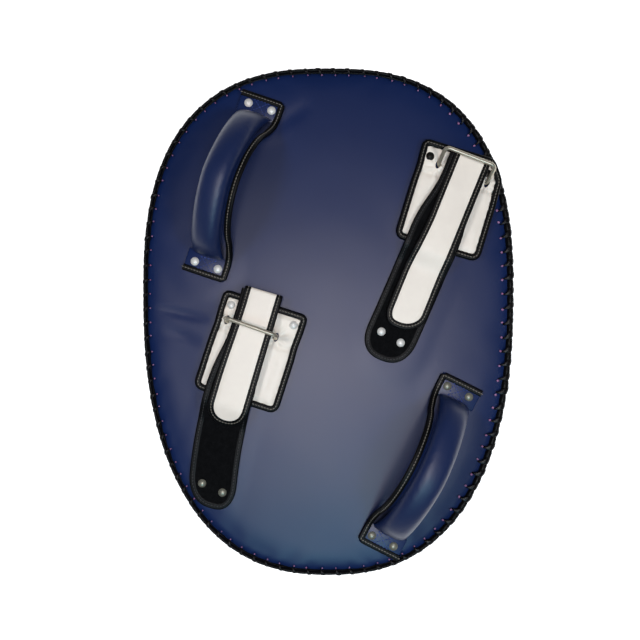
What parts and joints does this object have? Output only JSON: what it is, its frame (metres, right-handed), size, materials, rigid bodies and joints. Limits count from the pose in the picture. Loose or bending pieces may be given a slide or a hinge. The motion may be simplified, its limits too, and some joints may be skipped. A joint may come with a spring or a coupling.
{
  "type": "thai pad",
  "caption": "Large oval leather-covered foam strike pad with padded grab handles, riveted arm straps, wire ring buckles on bound pads, and a laced back seam.",
  "frame": {"origin": "middle of the footprint, on the surface that the striking face rests on", "axes": "+Z out of the back panel, away from the striking face; +Y along the pad to its broad end; +X to the right seen from behind the pad"},
  "size_m": [0.442, 0.604, 0.1628],
  "materials": {
    "navy_leather": "satin",
    "black_lace": "satin",
    "black_leather": "satin",
    "white_leather": "satin",
    "dense_foam": "matte",
    "soft_foam": "matte",
    "loop_tape": "matte",
    "hook_tape": "matte",
    "nickel": "polished"
  },
  "bodies": {
    "pad": {"front_panel": "navy_leather", "side_band": "navy_leather", "back_panel": "navy_leather", "rim_lacing": "black_lace", "edge_piping": "black_leather", "strike_foam": "dense_foam", "core_foam": "soft_foam", "backing_foam": "dense_foam", "upper_handle_cover": "navy_leather", "upper_handle_padding": "soft_foam", "upper_handle_binding": "black_leather", "upper_handle_rivets": "nickel", "lower_handle_cover": "navy_leather", "lower_handle_padding": "soft_foam", "lower_handle_binding": "black_leather", "lower_handle_rivets": "nickel", "left_buckle_pad": "white_leather", "left_buckle_foam": "soft_foam", "left_buckle_binding": "black_leather", "left_buckle_rivets": "nickel", "left_ring_keeper": "white_leather", "left_strap": "white_leather", "left_strap_loop_tape": "loop_tape", "left_strap_binding": "black_leather", "left_strap_rivets": "nickel", "right_buckle_pad": "white_leather", "right_buckle_foam": "soft_foam", "right_buckle_binding": "black_leather", "right_buckle_rivets": "nickel", "right_ring_keeper": "white_leather", "right_strap": "white_leather", "right_strap_loop_tape": "loop_tape", "right_strap_binding": "black_leather", "right_strap_rivets": "nickel"},
    "left_ring": {"left_ring": "nickel"},
    "left_tongue": {"left_tongue": "white_leather", "left_tongue_hook_tape": "hook_tape", "left_tongue_binding": "black_leather"},
    "right_ring": {"right_ring": "nickel"},
    "right_tongue": {"right_tongue": "white_leather", "right_tongue_hook_tape": "hook_tape", "right_tongue_binding": "black_leather"}
  },
  "joints": [
    {"name": "left_ring_swing", "type": "hinge", "parent": "pad", "child": "left_ring", "pos_m": [-0.0914, -0.01, 0.0955], "axis": [0.9426, -0.3338, 0], "range_deg": [-34, 10]},
    {"name": "left_tongue_peel", "type": "hinge", "parent": "pad", "child": "left_tongue", "pos_m": [-0.09331, -0.01901, 0.1062], "axis": [-0.9588, 0.284, 0], "range_deg": [0, 75]},
    {"name": "right_ring_swing", "type": "hinge", "parent": "pad", "child": "right_ring", "pos_m": [0.1574, 0.1728, 0.0955], "axis": [0.9336, -0.3584, 0], "range_deg": [-4, 45]},
    {"name": "right_tongue_peel", "type": "hinge", "parent": "pad", "child": "right_tongue", "pos_m": [0.15371, 0.16087, 0.1062], "axis": [-0.9272, 0.3746, 0], "range_deg": [0, 75]}
  ]
}
